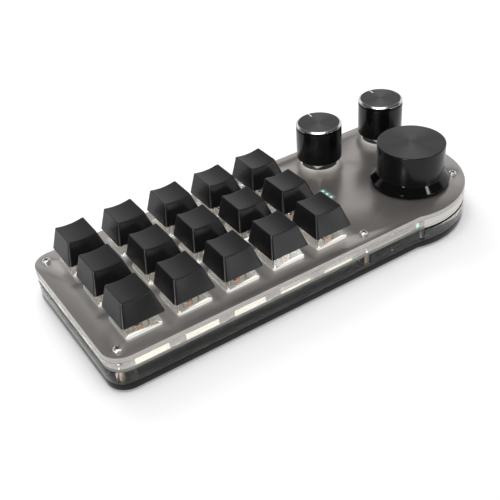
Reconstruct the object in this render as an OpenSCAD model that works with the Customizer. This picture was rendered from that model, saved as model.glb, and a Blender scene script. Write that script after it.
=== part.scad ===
// Macro keypad: fifteen keys and three push-and-turn knobs on a case of stacked acrylic sheets.
// The origin is on the table, under the middle of the case's bounding box.
// +X runs along the case towards the knobs, +Y to the back edge and +Z up.

/* [Layout] */
// Distance between key columns
col_pitch = 22; // [20:0.1:24]
// Distance between key rows
row_pitch = 23.4; // [20:0.1:26]
// Left edge of the case to the middle of the first key column
left_margin = 18.5; // [17.5:0.1:24]
// Straight front edge to the middle of the front key row
front_margin = 16.1; // [15.4:0.1:20]
// Middle of the back key row to the back edge
back_margin = 15.7; // [15.4:0.1:20]
// Middle of the last key column to the middle of the left small knob
knob_from_keys = 36.2; // [34:0.1:44]
// Distance between the two small knobs
small_knob_pitch = 37.3; // [34:0.1:44]
// Middle of the right small knob to the right edge
right_margin = 12.5; // [11.5:0.1:20]
// Middle of the small knobs to the back edge
knob_back_margin = 13.6; // [12:0.1:18]
// Middle of the big knob to the right edge
big_knob_right = 28.1; // [26:0.1:32]
// Middle of the big knob to the straight front edge
big_knob_front = 25.9; // [22:0.1:30]

/* [Case] */
// Radius of the two left corners
corner_r = 8.5; // [7:0.1:11]
// Radius of the back right corner
back_corner_r = 10; // [8:0.1:12]
// Radius of the round end in front of the big knob
end_r = 35; // [30:0.5:37]
// How far the round end stands out past the straight front edge
end_bulge = 1.6; // [1:0.1:4]
// Thickness of the frosted top plate
top_t = 2.1; // [1.8:0.1:2.6]
// Thickness of the clear spacer sheet between the top plate and the board
spacer_t = 3.2; // [2.9:0.1:3.6]
// Thickness of the clear end spacer, which carries on the board's level round the end
end_spacer_t = 1.1; // [0.8:0.1:1.2]
// Thickness of the clear lower frame
frame_t = 6.2; // [6:0.1:8]
// Thickness of the black base plate
base_t = 3; // [2.5:0.1:4]
// Width of the wall that the frames leave round the inside
wall = 4; // [3:0.1:4.4]
// Slot between the end frame and the end spacer
end_slot = 0.7; // [0.3:0.1:1.5]
// Distance from the middle of the round end back to the joint of the two frames
frame_split = 8; // [4:0.5:10]
// Joint between the lower frame and the end frame
split_gap = 0.3; // [0.1:0.1:0.6]
// Play round a switch body in the spacer sheet
spacer_play = 0.4; // [0.2:0.1:0.6]
// Diameter of the rubber feet
foot_d = 9; // [6:0.5:11]
// Height of the rubber feet
foot_h = 1.2; // [0.8:0.1:2.5]
// Corner of the case to the middle of a foot, along both edges
foot_inset = 14; // [12:0.5:18]

/* [Screws] */
// Thread diameter of the case screws
screw_d = 2; // [1.6:0.1:2.2]
// Head diameter of the case screws
head_d = 3.6; // [3.2:0.1:4]
// Head height of the top screws
head_h = 1.2; // [0.8:0.1:1.5]
// Head height of the countersunk base screws
sunk_h = 1.1; // [0.9:0.1:1.4]
// Edge of the case to the middle of a screw
screw_inset = 5.8; // [5.4:0.1:6.5]
// Diameter of the acrylic pad that stands round each screw
pad_d = 10; // [8:0.1:11]
// Outside diameter of the brass standoffs
standoff_d = 3.2; // [3:0.1:4]
// Diameter of the pocket that the frames leave for a standoff
pocket_d = 4.4; // [4.2:0.1:5]
// Last key column to the middle pair of screws
mid_screw_from_keys = 14.4; // [13:0.1:18]
// Direction from the big knob to the screw beside its skirt, in degrees
end_screw_turn = -27.2; // [-35:0.1:-20]
// Gap between the big knob's skirt and the head of that screw
end_screw_gap = 0.3; // [0.2:0.1:1]
// Right small knob forward to the screw between it and the big knob
side_screw_from_knob = 13.7; // [12:0.1:18]

/* [Switches] */
// Side of the square switch body below the plate
switch_w = 13.9; // [13.5:0.05:14.2]
// Play round the switch body in the plate
switch_play = 0.05; // [0.02:0.01:0.15]
// Side of the switch's square rim that lies on the plate
rim_w = 15.6; // [15:0.1:16]
// Thickness of that rim
rim_t = 1; // [0.8:0.1:1.2]
// Height of the clear cover's roof above the plate's top face
cover_top = 6.6; // [6.3:0.1:7]
// Wall of the clear cover
cover_wall = 0.9; // [0.6:0.1:1]
// Width of the cover's roof
roof_w = 10.8; // [10:0.1:11.2]
// Depth of the cover's roof from front to back
roof_d = 9.6; // [9:0.1:10]
// How far a key goes down
key_travel = 4; // [3:0.1:4]
// Height of the stem's cross above the cover's roof
cross_h = 3.6; // [3.2:0.1:4]
// Length of the arms of the stem's cross, from tip to tip
cross_w = 4; // [3.9:0.05:4.1]
// Thickness of the arms of the stem's cross
cross_t = 1.2; // [1:0.05:1.3]
// Width of the stem's neck, which passes the roof
neck_w = 6.7; // [6:0.1:6.9]
// Depth of the stem's neck from front to back
neck_d = 5.6; // [5.5:0.05:5.7]
// Diameter of the return spring
spring_d = 4.2; // [4:0.1:4.4]
// Diameter of the spring's wire
spring_wire = 0.3; // [0.2:0.05:0.4]
// Width of the copper contact leaves
contact_w = 1.8; // [1.4:0.1:2.4]
// Diameter of the switch's locating post
post_d = 4; // [3.6:0.1:4.2]
// Length of the locating post below the switch body
post_h = 3.3; // [2:0.1:3.4]

/* [Keycaps] */
// Side of the keycap's bottom edge
cap_w = 18.1; // [17.4:0.1:18.6]
// Width of the keycap's top
cap_top_w = 12.7; // [11.5:0.1:13.5]
// Depth of the keycap's top from front to back
cap_top_d = 13.8; // [12.5:0.1:14.2]
// How far the keycap's top lies behind its middle
cap_top_back = 1.65; // [0.5:0.05:2]
// Height of the keycap from its bottom edge to its highest corners
cap_h = 9; // [8.6:0.1:10]
// Height of the keycap's bottom edge above the plate
cap_lift = 6.3; // [6:0.1:6.6]
// Wall of the keycap
cap_wall = 1.3; // [1:0.05:1.4]
// Thickness of the keycap's top under the deepest line of its dish
cap_roof = 1.5; // [1.2:0.1:1.8]
// Radius of the dish across the keycap's top
dish_r = 24; // [20:0.5:40]
// Radius of the keycap's upright corners at the bottom
cap_corner_r = 1; // [0.6:0.1:2.2]
// Radius of the keycap's upright corners at the top
cap_top_r = 0.7; // [0.4:0.1:1.8]
// Outside diameter of the socket inside the keycap
socket_d = 5.4; // [5:0.1:5.6]

/* [Knobs] */
// Diameter of a small knob
small_knob_d = 21.2; // [18:0.1:22]
// Height of a small knob
small_knob_h = 17.7; // [17:0.1:19]
// Diameter of the flat top inside a small knob's bright chamfer
small_top_d = 19.5; // [16:0.1:19.8]
// Height of the bright chamfer
chamfer_h = 0.6; // [0.3:0.1:1.6]
// Gap under a small knob
small_knob_gap = 2.9; // [2.2:0.1:3.4]
// Diameter of the big knob's body
big_knob_d = 30.4; // [28:0.1:32]
// Diameter of the big knob's skirt
skirt_d = 35.8; // [34:0.1:38]
// Height of the big knob
big_knob_h = 18.5; // [17.8:0.1:20]
// Height of the upright rim of the skirt
skirt_rim_h = 2; // [1.4:0.1:2.6]
// Height of the hollow curve from the rim up to the body
flare_h = 2.8; // [2:0.1:4]
// Gap under the big knob
big_knob_gap = 0.8; // [0.7:0.1:1.2]
// Width of the pointer groove in a small knob's top
pointer_w = 0.7; // [0.4:0.1:1]
// Length of the pointer groove
pointer_l = 3.2; // [2:0.1:5]
// Depth of the pointer groove
pointer_deep = 0.3; // [0.2:0.05:0.5]
// Direction of the pointer groove, in degrees from +X
pointer_turn = 83; // [45:1:135]

/* [Encoders] */
// Side of the square encoder body
encoder_w = 11.7; // [11:0.1:12.4]
// Height of the encoder body above the board, with its metal lid
encoder_h = 6.5; // [6:0.1:6.7]
// Thickness of the encoder's metal lid
lid_t = 0.8; // [0.5:0.1:1.2]
// Diameter of the encoder's threaded neck
bushing_d = 7; // [6.8:0.1:8]
// Height of that neck above the lid
bushing_h = 7; // [5:0.5:7]
// Diameter of the encoder shaft
shaft_d = 6; // [5:0.1:6]
// Length of the shaft above the lid
shaft_up = 14.8; // [14:0.1:15]
// Depth of the flat on the shaft
flat_deep = 1.5; // [1:0.1:1.6]
// Length of the flat on the shaft
flat_l = 6.5; // [5:0.5:7]
// Play between the shaft and its neck, on the radius
shaft_play = 0.05; // [0.02:0.01:0.09]
// How far a knob pushes in
push_travel = 0.5; // [0.3:0.1:0.6]
// Play round an encoder body's corners in the plate
encoder_clear = 0.3; // [0.2:0.1:0.8]

/* [Electronics] */
// Thickness of the circuit board
board_t = 1.5; // [1.2:0.1:1.8]
// How far the board's edge lies in from the case's edge
board_in = 0.15; // [0:0.05:0.5]
// Play between the board and the end spacer's wall
board_gap = 0.4; // [0.2:0.1:1]
// Width of the cable socket's mouth
usb_w = 8.9; // [8.4:0.1:9.2]
// Height of the cable socket
usb_t = 3.2; // [3:0.1:3.4]
// Length of the cable socket
usb_l = 7.3; // [7:0.1:9]
// Last key column to the cable socket
usb_from_keys = 24.5; // [22:0.1:28]
// Side of the controller chip
chip_w = 7; // [5:0.5:10]
// Height of the controller chip
chip_t = 1.4; // [0.8:0.1:2]
// Middle of the small knobs forward to the controller chip
chip_from_knobs = 20; // [16:0.5:26]
// Middle of the small knobs forward to the voltage regulator
regulator_from_knobs = 12; // [9:0.5:14]
// Last key column to the three indicator lamps
lamp_from_keys = 21.1; // [17:0.1:24]
// Straight front edge to the first indicator lamp
lamp_from_front = 36.5; // [30:0.1:40]
// Distance between the indicator lamps
lamp_pitch = 3; // [2.5:0.1:4]

/* [Hidden] */
rows = 3;
cols = 5;
knob_names = ["left_knob", "right_knob", "big_knob"];
$fn = 64;

eps = 0.01;
screw_play = 0.1;
screw_hole_d = screw_d + 2 * screw_play;
rest_gap = 0.05;
lamp_w = 1.6;
lamp_t = 0.8;
lamp_play = 0.2;
edge_lamp_in = 2.5;
encoder_hole_d = encoder_w * sqrt(2) + 2 * encoder_clear;

// Plan of the case, measured from its left edge and its straight front edge
last_col_x = left_margin + (cols - 1) * col_pitch;
left_knob_x = last_col_x + knob_from_keys;
right_knob_x = left_knob_x + small_knob_pitch;
case_l = right_knob_x + right_margin;
body_w = front_margin + (rows - 1) * row_pitch + back_margin;
small_knob_y = body_w - knob_back_margin;
end_x = case_l - end_r;
end_y = end_r - end_bulge;
split_x = end_x - frame_split;
knob_spots = [
    [left_knob_x, small_knob_y],
    [right_knob_x, small_knob_y],
    [case_l - big_knob_right, big_knob_front]];
mid_screw_x = last_col_x + mid_screw_from_keys;
end_screw_from_knob = (skirt_d + head_d) / 2 + end_screw_gap;
end_screw_spots = [
    knob_spots[2] + end_screw_from_knob * [cos(end_screw_turn), sin(end_screw_turn)],
    [case_l - screw_inset, small_knob_y - side_screw_from_knob]];
screw_spots = concat(
    [for (x = [screw_inset, mid_screw_x], y = [screw_inset, body_w - screw_inset]) [x, y]],
    end_screw_spots);
foot_spots = [
    [foot_inset, foot_inset],
    [foot_inset, body_w - foot_inset],
    [end_x, foot_inset],
    [case_l - foot_inset, body_w - foot_inset]];
usb_x = last_col_x + usb_from_keys;
lamp_x = last_col_x + lamp_from_keys;

// Heights of the stack, from the table up
base_z = foot_h;
frame_z = base_z + base_t;
board_z = frame_z + frame_t;
board_top_z = board_z + board_t;
plate_z = board_top_z + spacer_t;
deck_z = plate_z + top_t;
end_spacer_z = board_top_z - end_spacer_t;

// Inside of a switch, by height above the plate
switch_depth = top_t + spacer_t;
floor_z = -switch_depth + 1.1;
tube_top = -1;
roof_t = 1.1;
roof_play = 0.15;
neck_top = cover_top + 0.4;
shoulder_z = cover_top - roof_t - rest_gap;
shoulder_d = neck_d + 0.9;
stem_bottom = 1.8;
pocket_top = shoulder_z - 0.9;
pin_d = 1.9;
pin_bottom = tube_top - 0.8;
pin_bore_d = pin_d + 0.3;
tube_d = spring_d - 2 * spring_wire - 0.2;
contact_t = 0.3;
front_leaf_top = 2.2;
side_leaf_top = 0.6;
contact_pin_d = 0.9;
front_contact = [-2.54, -5.08];
side_contact = [3.81, -2.54];
leaf_shift = 1.3;

// Keycap, by height above its own bottom edge
cap_inner_r = 0.4;
dish_deep = dish_r - sqrt(dish_r * dish_r - cap_top_w * cap_top_w / 4);
cap_inside_h = cap_h - dish_deep - cap_roof;
socket_from = neck_top - cap_lift + rest_gap;
cross_top = cover_top + cross_h - cap_lift + rest_gap;

// Encoder, by height above the board's top face
shaft_from = 2.7;
plunger_t = 1.2;
plunger_top = shaft_from - rest_gap;
screw_meet = 1.5;
screw_reach = (frame_t - screw_meet) / 2;
lid_top = encoder_h;
neck_above = lid_top + bushing_h;
shaft_top = lid_top + shaft_up;
knob_base = [for (gap = [small_knob_gap, small_knob_gap, big_knob_gap]) switch_depth + gap];

function key_x(c) = left_margin + (c - 1) * col_pitch;
function key_y(r) = front_margin + (rows - r) * row_pitch;

module in_case(z = 0) {
    translate([-case_l / 2, (end_bulge - body_w) / 2, z]) children();
}

module at_keys() {
    for (r = [1:rows], c = [1:cols]) translate([key_x(c), key_y(r)]) children();
}

module at_screws() {
    for (p = screw_spots) translate(p) children();
}

module at_knobs() {
    for (p = knob_spots) translate(p) children();
}

// Three lamps beside the keys, and one at the front edge by the round end's shoulder
module at_lamps() {
    for (k = [0:2]) translate([lamp_x, lamp_from_front + k * lamp_pitch]) children();
    translate([split_x - edge_lamp_in, edge_lamp_in]) children();
}

// Case outline, drawn in from the edge by inset: a round-cornered bar with the round end laid over it
module outline(inset = 0) {
    translate([corner_r, inset]) square([end_x - corner_r, body_w - 2 * inset]);
    translate([inset, corner_r]) square([end_x - inset, body_w - 2 * corner_r]);
    for (y = [corner_r, body_w - corner_r]) translate([corner_r, y]) circle(r = corner_r - inset);
    translate([end_x, end_y]) square([end_r - back_corner_r, body_w - inset - end_y]);
    translate([end_x, end_y]) square([end_r - inset, body_w - back_corner_r - end_y]);
    translate([case_l - back_corner_r, body_w - back_corner_r]) circle(r = back_corner_r - inset);
    translate([end_x, end_y]) circle(r = end_r - inset);
}

// Wall round the inside, with a pad at each screw
module ring() {
    difference() {
        outline();
        outline(wall);
    }
    intersection() {
        outline();
        at_screws() circle(d = pad_d);
    }
}

// All of the plan between two places along X
module stretch(from_x, to_x) {
    intersection() {
        translate([from_x, -end_bulge - 1]) square([to_x - from_x, body_w + end_bulge + 2]);
        children();
    }
}

// Stretch of the ring, with a hole of that diameter at each screw
module ring_part(from_x, to_x, hole_d) {
    difference() {
        stretch(from_x, to_x) ring();
        at_screws() circle(d = hole_d);
    }
}

// Block with four flat sloping sides, w1 by d1 at the bottom and w2 by d2 at the top
module taper(w1, d1, w2, d2, h) {
    intersection() {
        rotate([90, 0, 0]) linear_extrude(d1 + 1, center = true)
            polygon([[-w1 / 2, 0], [w1 / 2, 0], [w2 / 2, h], [-w2 / 2, h]]);
        rotate([90, 0, 90]) linear_extrude(w1 + 1, center = true)
            polygon([[-d1 / 2, 0], [d1 / 2, 0], [d2 / 2, h], [-d2 / 2, h]]);
    }
}

module box(w, d, z1, z2) {
    translate([-w / 2, -d / 2, z1]) cube([w, d, z2 - z1]);
}

module rod(d, z1, z2) {
    translate([0, 0, z1]) cylinder(d = d, h = z2 - z1);
}

module top_plate() {
    color([0.5, 0.49, 0.48]) in_case(plate_z) linear_extrude(top_t) difference() {
        outline();
        at_keys() square(switch_w + 2 * switch_play, center = true);
        at_knobs() circle(d = encoder_hole_d);
        at_screws() circle(d = screw_hole_d);
    }
}

// Full sheet on the board, cut out for all that stands on the board
module spacer_sheet() {
    color([0.85, 0.88, 0.88, 0.5]) in_case(board_top_z) linear_extrude(spacer_t) difference() {
        outline();
        at_keys() square(switch_w + 2 * spacer_play, center = true);
        at_knobs() circle(d = encoder_hole_d);
        at_lamps() square(lamp_w + 2 * lamp_play, center = true);
        at_screws() circle(d = screw_hole_d);
    }
}

module end_spacer() {
    color([0.85, 0.88, 0.88, 0.5]) in_case(end_spacer_z)
        linear_extrude(end_spacer_t) ring_part(split_x + split_gap, case_l + 1, screw_hole_d);
}

module lower_frame() {
    color([0.8, 0.84, 0.84, 0.5]) in_case(frame_z) difference() {
        linear_extrude(frame_t) ring_part(-1, split_x, pocket_d);
        translate([usb_x, body_w, frame_t - usb_t / 2])
            cube([usb_w + 1, 3 * wall, usb_t + 1], center = true);
    }
}

module end_frame() {
    end_frame_t = end_spacer_z - end_slot - frame_z;
    color([0.55, 0.55, 0.56, 0.6]) in_case(frame_z)
        linear_extrude(end_frame_t) ring_part(split_x + split_gap, case_l + 1, pocket_d);
}

module base_plate() {
    color([0.05, 0.05, 0.055]) in_case(base_z) difference() {
        linear_extrude(base_t) outline();
        at_screws() rod(screw_hole_d, -1, base_t + 1);
        at_screws() translate([0, 0, -eps])
            cylinder(d1 = head_d + 2 * screw_play, d2 = screw_hole_d, h = sunk_h + screw_play);
    }
}

module feet() {
    color([0.08, 0.08, 0.08]) in_case() for (p = foot_spots) translate(p)
        cylinder(d1 = foot_d - 0.8, d2 = foot_d, h = foot_h);
}

// Each standoff takes a screw from both ends, and the two screws stop short of each other.
// The two at the round end carry the end spacer, and are taller than the end frame by the slot.
module standoffs() {
    color([0.78, 0.6, 0.3]) in_case() for (p = screw_spots) translate(p) difference() {
        rod(standoff_d, frame_z, p[0] < split_x ? board_z : end_spacer_z);
        rod(screw_d + screw_play, 0, deck_z);
    }
}

module cross_recess(deep) {
    slot = [head_d * 0.62, 0.5, deep + 1];
    for (a = [0, 90]) rotate(a) translate([-slot[0] / 2, -slot[1] / 2, -deep]) cube(slot);
}

module top_screws() {
    color([0.8, 0.79, 0.77]) in_case(deck_z) at_screws() difference() {
        union() {
            rotate_extrude() polygon([
                [0, 0], [head_d / 2, 0], [head_d / 2, head_h * 0.45], [head_d * 0.43, head_h * 0.8],
                [head_d * 0.28, head_h], [0, head_h]]);
            rod(screw_d, -(switch_depth + board_t + screw_reach), eps);
        }
        translate([0, 0, head_h]) cross_recess(head_h * 0.6);
    }
}

module base_screws() {
    color([0.7, 0.69, 0.67]) in_case(base_z) at_screws() difference() {
        union() {
            cylinder(d1 = head_d, d2 = screw_d, h = sunk_h);
            rod(screw_d, 0.2, base_t + screw_reach);
        }
        mirror([0, 0, 1]) cross_recess(sunk_h * 0.6);
    }
}

// The board reaches the case's edge under the keys, and keeps inside the end spacer round the end
module main_board() {
    color([0.06, 0.1, 0.08]) in_case(board_z) linear_extrude(board_t) difference() {
        union() {
            stretch(-1, split_x) outline(board_in);
            difference() {
                stretch(split_x - eps, case_l) outline(wall + board_gap);
                for (p = end_screw_spots) translate(p) circle(d = pad_d + 2 * board_gap);
            }
        }
        at_screws() circle(d = screw_hole_d);
        at_keys() {
            circle(d = post_d + 0.1);
            for (p = [front_contact, side_contact]) translate(p) circle(d = contact_pin_d + 0.4);
        }
    }
}

module controller_chip() {
    color([0.1, 0.1, 0.11]) in_case(board_z - chip_t)
        translate([(left_knob_x + usb_x) / 2, small_knob_y - chip_from_knobs]) box(chip_w, chip_w, 0, chip_t);
}

// One diode beside each switch, and the voltage regulator, all under the board
module board_parts() {
    diode = [1.6, 2.7, 1.1];
    regulator = [3.5, 6.5, 1.6];
    color([0.14, 0.14, 0.15]) in_case() {
        at_keys() translate([switch_w / 2 + 1, -diode[1] / 2, board_z - diode[2]]) cube(diode);
        translate([usb_x - regulator[0] / 2, small_knob_y - regulator_from_knobs, board_z - regulator[2]])
            cube(regulator);
    }
}

// Round-ended metal shell, open at the back edge of the case, with a tongue inside
module usb_socket() {
    shell = 0.3;
    recess = 0.8;
    tongue = [usb_w - 2.4, usb_l - 1.5, 0.7];
    color([0.75, 0.75, 0.76]) in_case(board_z - usb_t / 2) translate([usb_x, body_w - recess, 0]) {
        rotate([90, 0, 0]) linear_extrude(usb_l) difference() {
            stadium(usb_w, usb_t);
            stadium(usb_w - 2 * shell, usb_t - 2 * shell);
        }
        translate([0, shell - usb_l, 0]) rotate([90, 0, 0]) linear_extrude(shell) stadium(usb_w, usb_t);
        translate([-tongue[0] / 2, -usb_l, -tongue[2] / 2]) cube(tongue);
    }
}

module stadium(w, t) {
    square([w - t, t], center = true);
    for (s = [-1, 1]) translate([s * (w - t) / 2, 0]) circle(d = t);
}

module indicator_lamps() {
    color([0.75, 0.95, 0.9]) in_case(board_top_z) at_lamps() box(lamp_w, lamp_w, 0, lamp_t);
}

module switch_bases() {
    inner = switch_w - 2;
    color([0.85, 0.85, 0.83, 0.7]) in_case(deck_z) at_keys() difference() {
        union() {
            difference() {
                union() {
                    box(switch_w, switch_w, -switch_depth, eps);
                    linear_extrude(rim_t) rim();
                }
                box(inner, inner, floor_z, rim_t + 1);
            }
            rod(tube_d, floor_z - eps, tube_top);
            rod(post_d, -switch_depth - post_h, -switch_depth + eps);
        }
        rod(pin_bore_d, pin_bottom - key_travel - 0.5, tube_top + 1);
        for (p = [front_contact, side_contact]) translate(p)
            rod(contact_pin_d + 0.1, -switch_depth - 1, floor_z + 1);
    }
}

// Switch rim with rounded corners
module rim() {
    r = 1.2;
    square([rim_w, rim_w - 2 * r], center = true);
    square([rim_w - 2 * r, rim_w], center = true);
    for (x = [-1, 1], y = [-1, 1]) translate([x, y] * (rim_w / 2 - r)) circle(r = r);
}

module switch_covers() {
    foot_w = rim_w - 0.8;
    hollow_h = cover_top - rim_t - roof_t;
    color([0.85, 0.88, 0.88, 0.5]) in_case(deck_z) at_keys() difference() {
        translate([0, 0, rim_t]) taper(foot_w, foot_w, roof_w, roof_d, cover_top - rim_t);
        translate([0, 0, rim_t - eps]) taper(
            foot_w - 2 * cover_wall, foot_w - 2 * cover_wall,
            roof_w - 2 * cover_wall, roof_d - 2 * cover_wall, hollow_h + eps);
        box(neck_w + 2 * roof_play, neck_d + 2 * roof_play, 0, cover_top + 1);
    }
}

// Two copper leaves in each switch, each with a pin through the board
module switch_contacts() {
    color([0.75, 0.45, 0.3]) in_case(deck_z) at_keys() {
        translate(front_contact) contact(contact_w, contact_t, leaf_shift, front_leaf_top);
        translate(side_contact) contact(contact_t, contact_w, 0, side_leaf_top);
    }
}

module contact(w, d, shift, top) {
    translate([shift, 0]) box(w, d, floor_z + rest_gap, top);
    rod(contact_pin_d, -switch_depth - board_t - 1.2, floor_z + 1);
}

module switch_springs() {
    color([0.7, 0.7, 0.7]) in_case(deck_z) at_keys() difference() {
        rod(spring_d, floor_z, pocket_top);
        rod(spring_d - 2 * spring_wire, floor_z - 1, pocket_top + 1);
    }
}

module stem(r, c) {
    color([0.25, 0.25, 0.27]) in_case(deck_z) translate([key_x(c), key_y(r)]) {
        difference() {
            union() {
                box(neck_w - 0.1, shoulder_d, stem_bottom, shoulder_z);
                box(neck_w, neck_d, shoulder_z - eps, neck_top);
            }
            rod(spring_d + 0.4, stem_bottom - 1, pocket_top);
        }
        rod(pin_d, pin_bottom, pocket_top + eps);
        box(cross_w, cross_t, neck_top - eps, cover_top + cross_h);
        box(cross_t, cross_w, neck_top - eps, cover_top + cross_h);
    }
}

// Thin slice of the keycap: a round-cornered plate
module cap_slice(w, d, r, z, back) {
    translate([0, back, z]) linear_extrude(eps) hull()
        for (x = [-1, 1], y = [-1, 1]) translate([x * (w / 2 - r), y * (d / 2 - r)]) circle(r = r, $fn = 28);
}

// Keycap: two hulled shells one inside the other, a dish across the top and a cross socket inside
module keycap(r, c) {
    thick = 2 * cap_wall;
    color([0.1, 0.1, 0.105]) in_case(deck_z + cap_lift) translate([key_x(c), key_y(r)]) {
        difference() {
            hull() {
                cap_slice(cap_w, cap_w, cap_corner_r, 0, 0);
                cap_slice(cap_top_w, cap_top_d, cap_top_r, cap_h, cap_top_back);
            }
            hull() {
                cap_slice(cap_w - thick, cap_w - thick, cap_inner_r, -eps, 0);
                cap_slice(cap_top_w - thick, cap_top_d - thick, cap_inner_r, cap_inside_h, cap_top_back);
            }
            translate([0, 0, cap_h + dish_r - dish_deep]) rotate([90, 0, 0])
                cylinder(r = dish_r, h = 2 * cap_w, center = true, $fn = 96);
        }
        difference() {
            rod(socket_d, socket_from, cap_inside_h + 0.5);
            box(cross_w + 0.1, cross_t + 0.1, socket_from - 1, cross_top);
            box(cross_t + 0.1, cross_w + 0.1, socket_from - 1, cross_top);
        }
    }
}

module encoder_bodies() {
    color([0.12, 0.12, 0.13]) in_case(board_top_z) at_knobs() difference() {
        box(encoder_w, encoder_w, 0, encoder_h - lid_t);
        rod(shaft_d + 2 * shaft_play, plunger_top - plunger_t - push_travel - 0.1, encoder_h);
    }
}

module encoder_necks() {
    color([0.72, 0.72, 0.72]) in_case(board_top_z) at_knobs() difference() {
        union() {
            box(encoder_w, encoder_w, lid_top - lid_t, lid_top);
            rod(bushing_d, lid_top - eps, neck_above);
        }
        rod(shaft_d + 2 * shaft_play, 0, neck_above + 1);
    }
}

// Disc that a pushed shaft presses down on its switch
module plunger(n) {
    color([0.8, 0.8, 0.8]) in_case(board_top_z) translate(knob_spots[n])
        rod(shaft_d, plunger_top - plunger_t, plunger_top);
}

module shaft(n) {
    color([0.78, 0.78, 0.78]) in_case(board_top_z) translate(knob_spots[n]) difference() {
        rod(shaft_d, shaft_from, shaft_top);
        translate([-shaft_d, shaft_d / 2 - flat_deep, shaft_top - flat_l])
            cube([2 * shaft_d, shaft_d, flat_l + 1]);
    }
}

// Hole for the shaft: round below, flat-sided over the shaft's flat
module shaft_hole(base) {
    hole_r = shaft_d / 2 + 0.03;
    translate([0, 0, -base]) {
        difference() {
            rod(2 * hole_r, base - 1, shaft_top + 0.2);
            translate([-shaft_d, shaft_d / 2 - flat_deep + 0.03, shaft_top - flat_l + 0.5])
                cube([2 * shaft_d, shaft_d, flat_l + 1]);
        }
        rod(bushing_d + 3, base - 1, neck_above + push_travel + 0.7);
    }
}

// Small knob: a turned body with a bright chamfer round the top and a fine groove under it
module small_knob(n) {
    r = small_knob_d / 2;
    groove = 0.5;
    groove_z = small_knob_h - chamfer_h - 1;
    color([0.07, 0.07, 0.075]) in_case(board_top_z + knob_base[n]) translate(knob_spots[n]) difference() {
        rotate_extrude() polygon([
            [0, 0], [r - 0.4, 0], [r, 0.4], [r, groove_z - groove], [r - 0.3, groove_z - groove],
            [r - 0.3, groove_z], [r, groove_z], [r, small_knob_h - chamfer_h],
            [small_top_d / 2, small_knob_h], [0, small_knob_h]]);
        shaft_hole(knob_base[n]);
        rotate(pointer_turn)
            translate([small_top_d / 2 - pointer_l, -pointer_w / 2, small_knob_h - pointer_deep])
            cube([pointer_l + 1, pointer_w, 1]);
    }
}

// Big knob: a turned body on a skirt, with a hollow curve from the skirt's rim to the body
module big_knob() {
    body_r = big_knob_d / 2;
    skirt_r = skirt_d / 2;
    flare_w = skirt_r - body_r;
    edge = 0.5;
    lid_clear = 0.6;
    recess_d = encoder_hole_d + 2 * lid_clear;
    recess_top = lid_top - switch_depth - big_knob_gap + push_travel + lid_clear;
    flare = [for (a = [0:15:90]) [body_r + flare_w * (1 - sin(a)), skirt_rim_h + flare_h * (1 - cos(a))]];
    color([0.06, 0.06, 0.065]) in_case(board_top_z + knob_base[2]) translate(knob_spots[2]) difference() {
        rotate_extrude($fn = 96) polygon(concat(
            [[0, 0], [skirt_r - 0.3, 0], [skirt_r, 0.3]],
            flare,
            [[body_r, big_knob_h - edge], [body_r - edge, big_knob_h], [0, big_knob_h]]));
        shaft_hole(knob_base[2]);
        rod(recess_d, -1, recess_top);
    }
}

top_plate();
spacer_sheet();
end_spacer();
lower_frame();
end_frame();
base_plate();
feet();
standoffs();
top_screws();
base_screws();
main_board();
controller_chip();
board_parts();
usb_socket();
indicator_lamps();
switch_bases();
switch_covers();
switch_contacts();
switch_springs();
for (r = [1:rows], c = [1:cols]) {
    stem(r, c);
    keycap(r, c);
}
encoder_bodies();
encoder_necks();
for (n = [0:2]) {
    plunger(n);
    shaft(n);
}
small_knob(0);  // left_knob
small_knob(1);  // right_knob
big_knob();
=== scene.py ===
"""Looks of the macro keypad: sculpted keycaps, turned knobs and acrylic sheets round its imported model."""
import math

import bmesh
import bpy
import numpy as np
from mathutils import Matrix, Vector


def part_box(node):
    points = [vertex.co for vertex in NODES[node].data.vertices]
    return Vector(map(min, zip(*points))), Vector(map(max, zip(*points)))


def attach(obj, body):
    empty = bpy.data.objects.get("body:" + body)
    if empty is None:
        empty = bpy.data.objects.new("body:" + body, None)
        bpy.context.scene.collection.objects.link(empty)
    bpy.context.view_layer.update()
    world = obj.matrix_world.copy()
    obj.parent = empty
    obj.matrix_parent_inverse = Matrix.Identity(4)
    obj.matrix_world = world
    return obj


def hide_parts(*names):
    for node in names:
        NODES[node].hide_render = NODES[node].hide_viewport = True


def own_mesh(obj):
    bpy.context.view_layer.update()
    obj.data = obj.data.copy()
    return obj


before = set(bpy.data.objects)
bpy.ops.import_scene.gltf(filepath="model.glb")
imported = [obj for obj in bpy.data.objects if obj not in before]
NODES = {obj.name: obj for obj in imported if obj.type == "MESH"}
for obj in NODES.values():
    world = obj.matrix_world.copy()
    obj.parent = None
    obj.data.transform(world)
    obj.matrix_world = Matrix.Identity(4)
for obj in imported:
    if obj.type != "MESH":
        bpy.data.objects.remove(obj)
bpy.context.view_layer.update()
MM = 0.001

ROWS = (1, 2, 3)
COLUMNS = (1, 2, 3, 4, 5)
KEYS = [f"r{row}c{column}" for row in ROWS for column in COLUMNS]
SMALL_KNOBS = ("left_knob", "right_knob")
KNOBS = (*SMALL_KNOBS, "big_knob")


# Places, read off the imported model


def middle(node):
    """Middle of a node's box."""
    low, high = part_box(node)
    return (low + high) / 2


def foot(node):
    """Middle of the underside of a node's box."""
    low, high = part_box(node)
    return np.array([(low.x + high.x) / 2, (low.y + high.y) / 2, low.z])


def height(node):
    """How tall a node's box is."""
    low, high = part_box(node)
    return high.z - low.z


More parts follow.
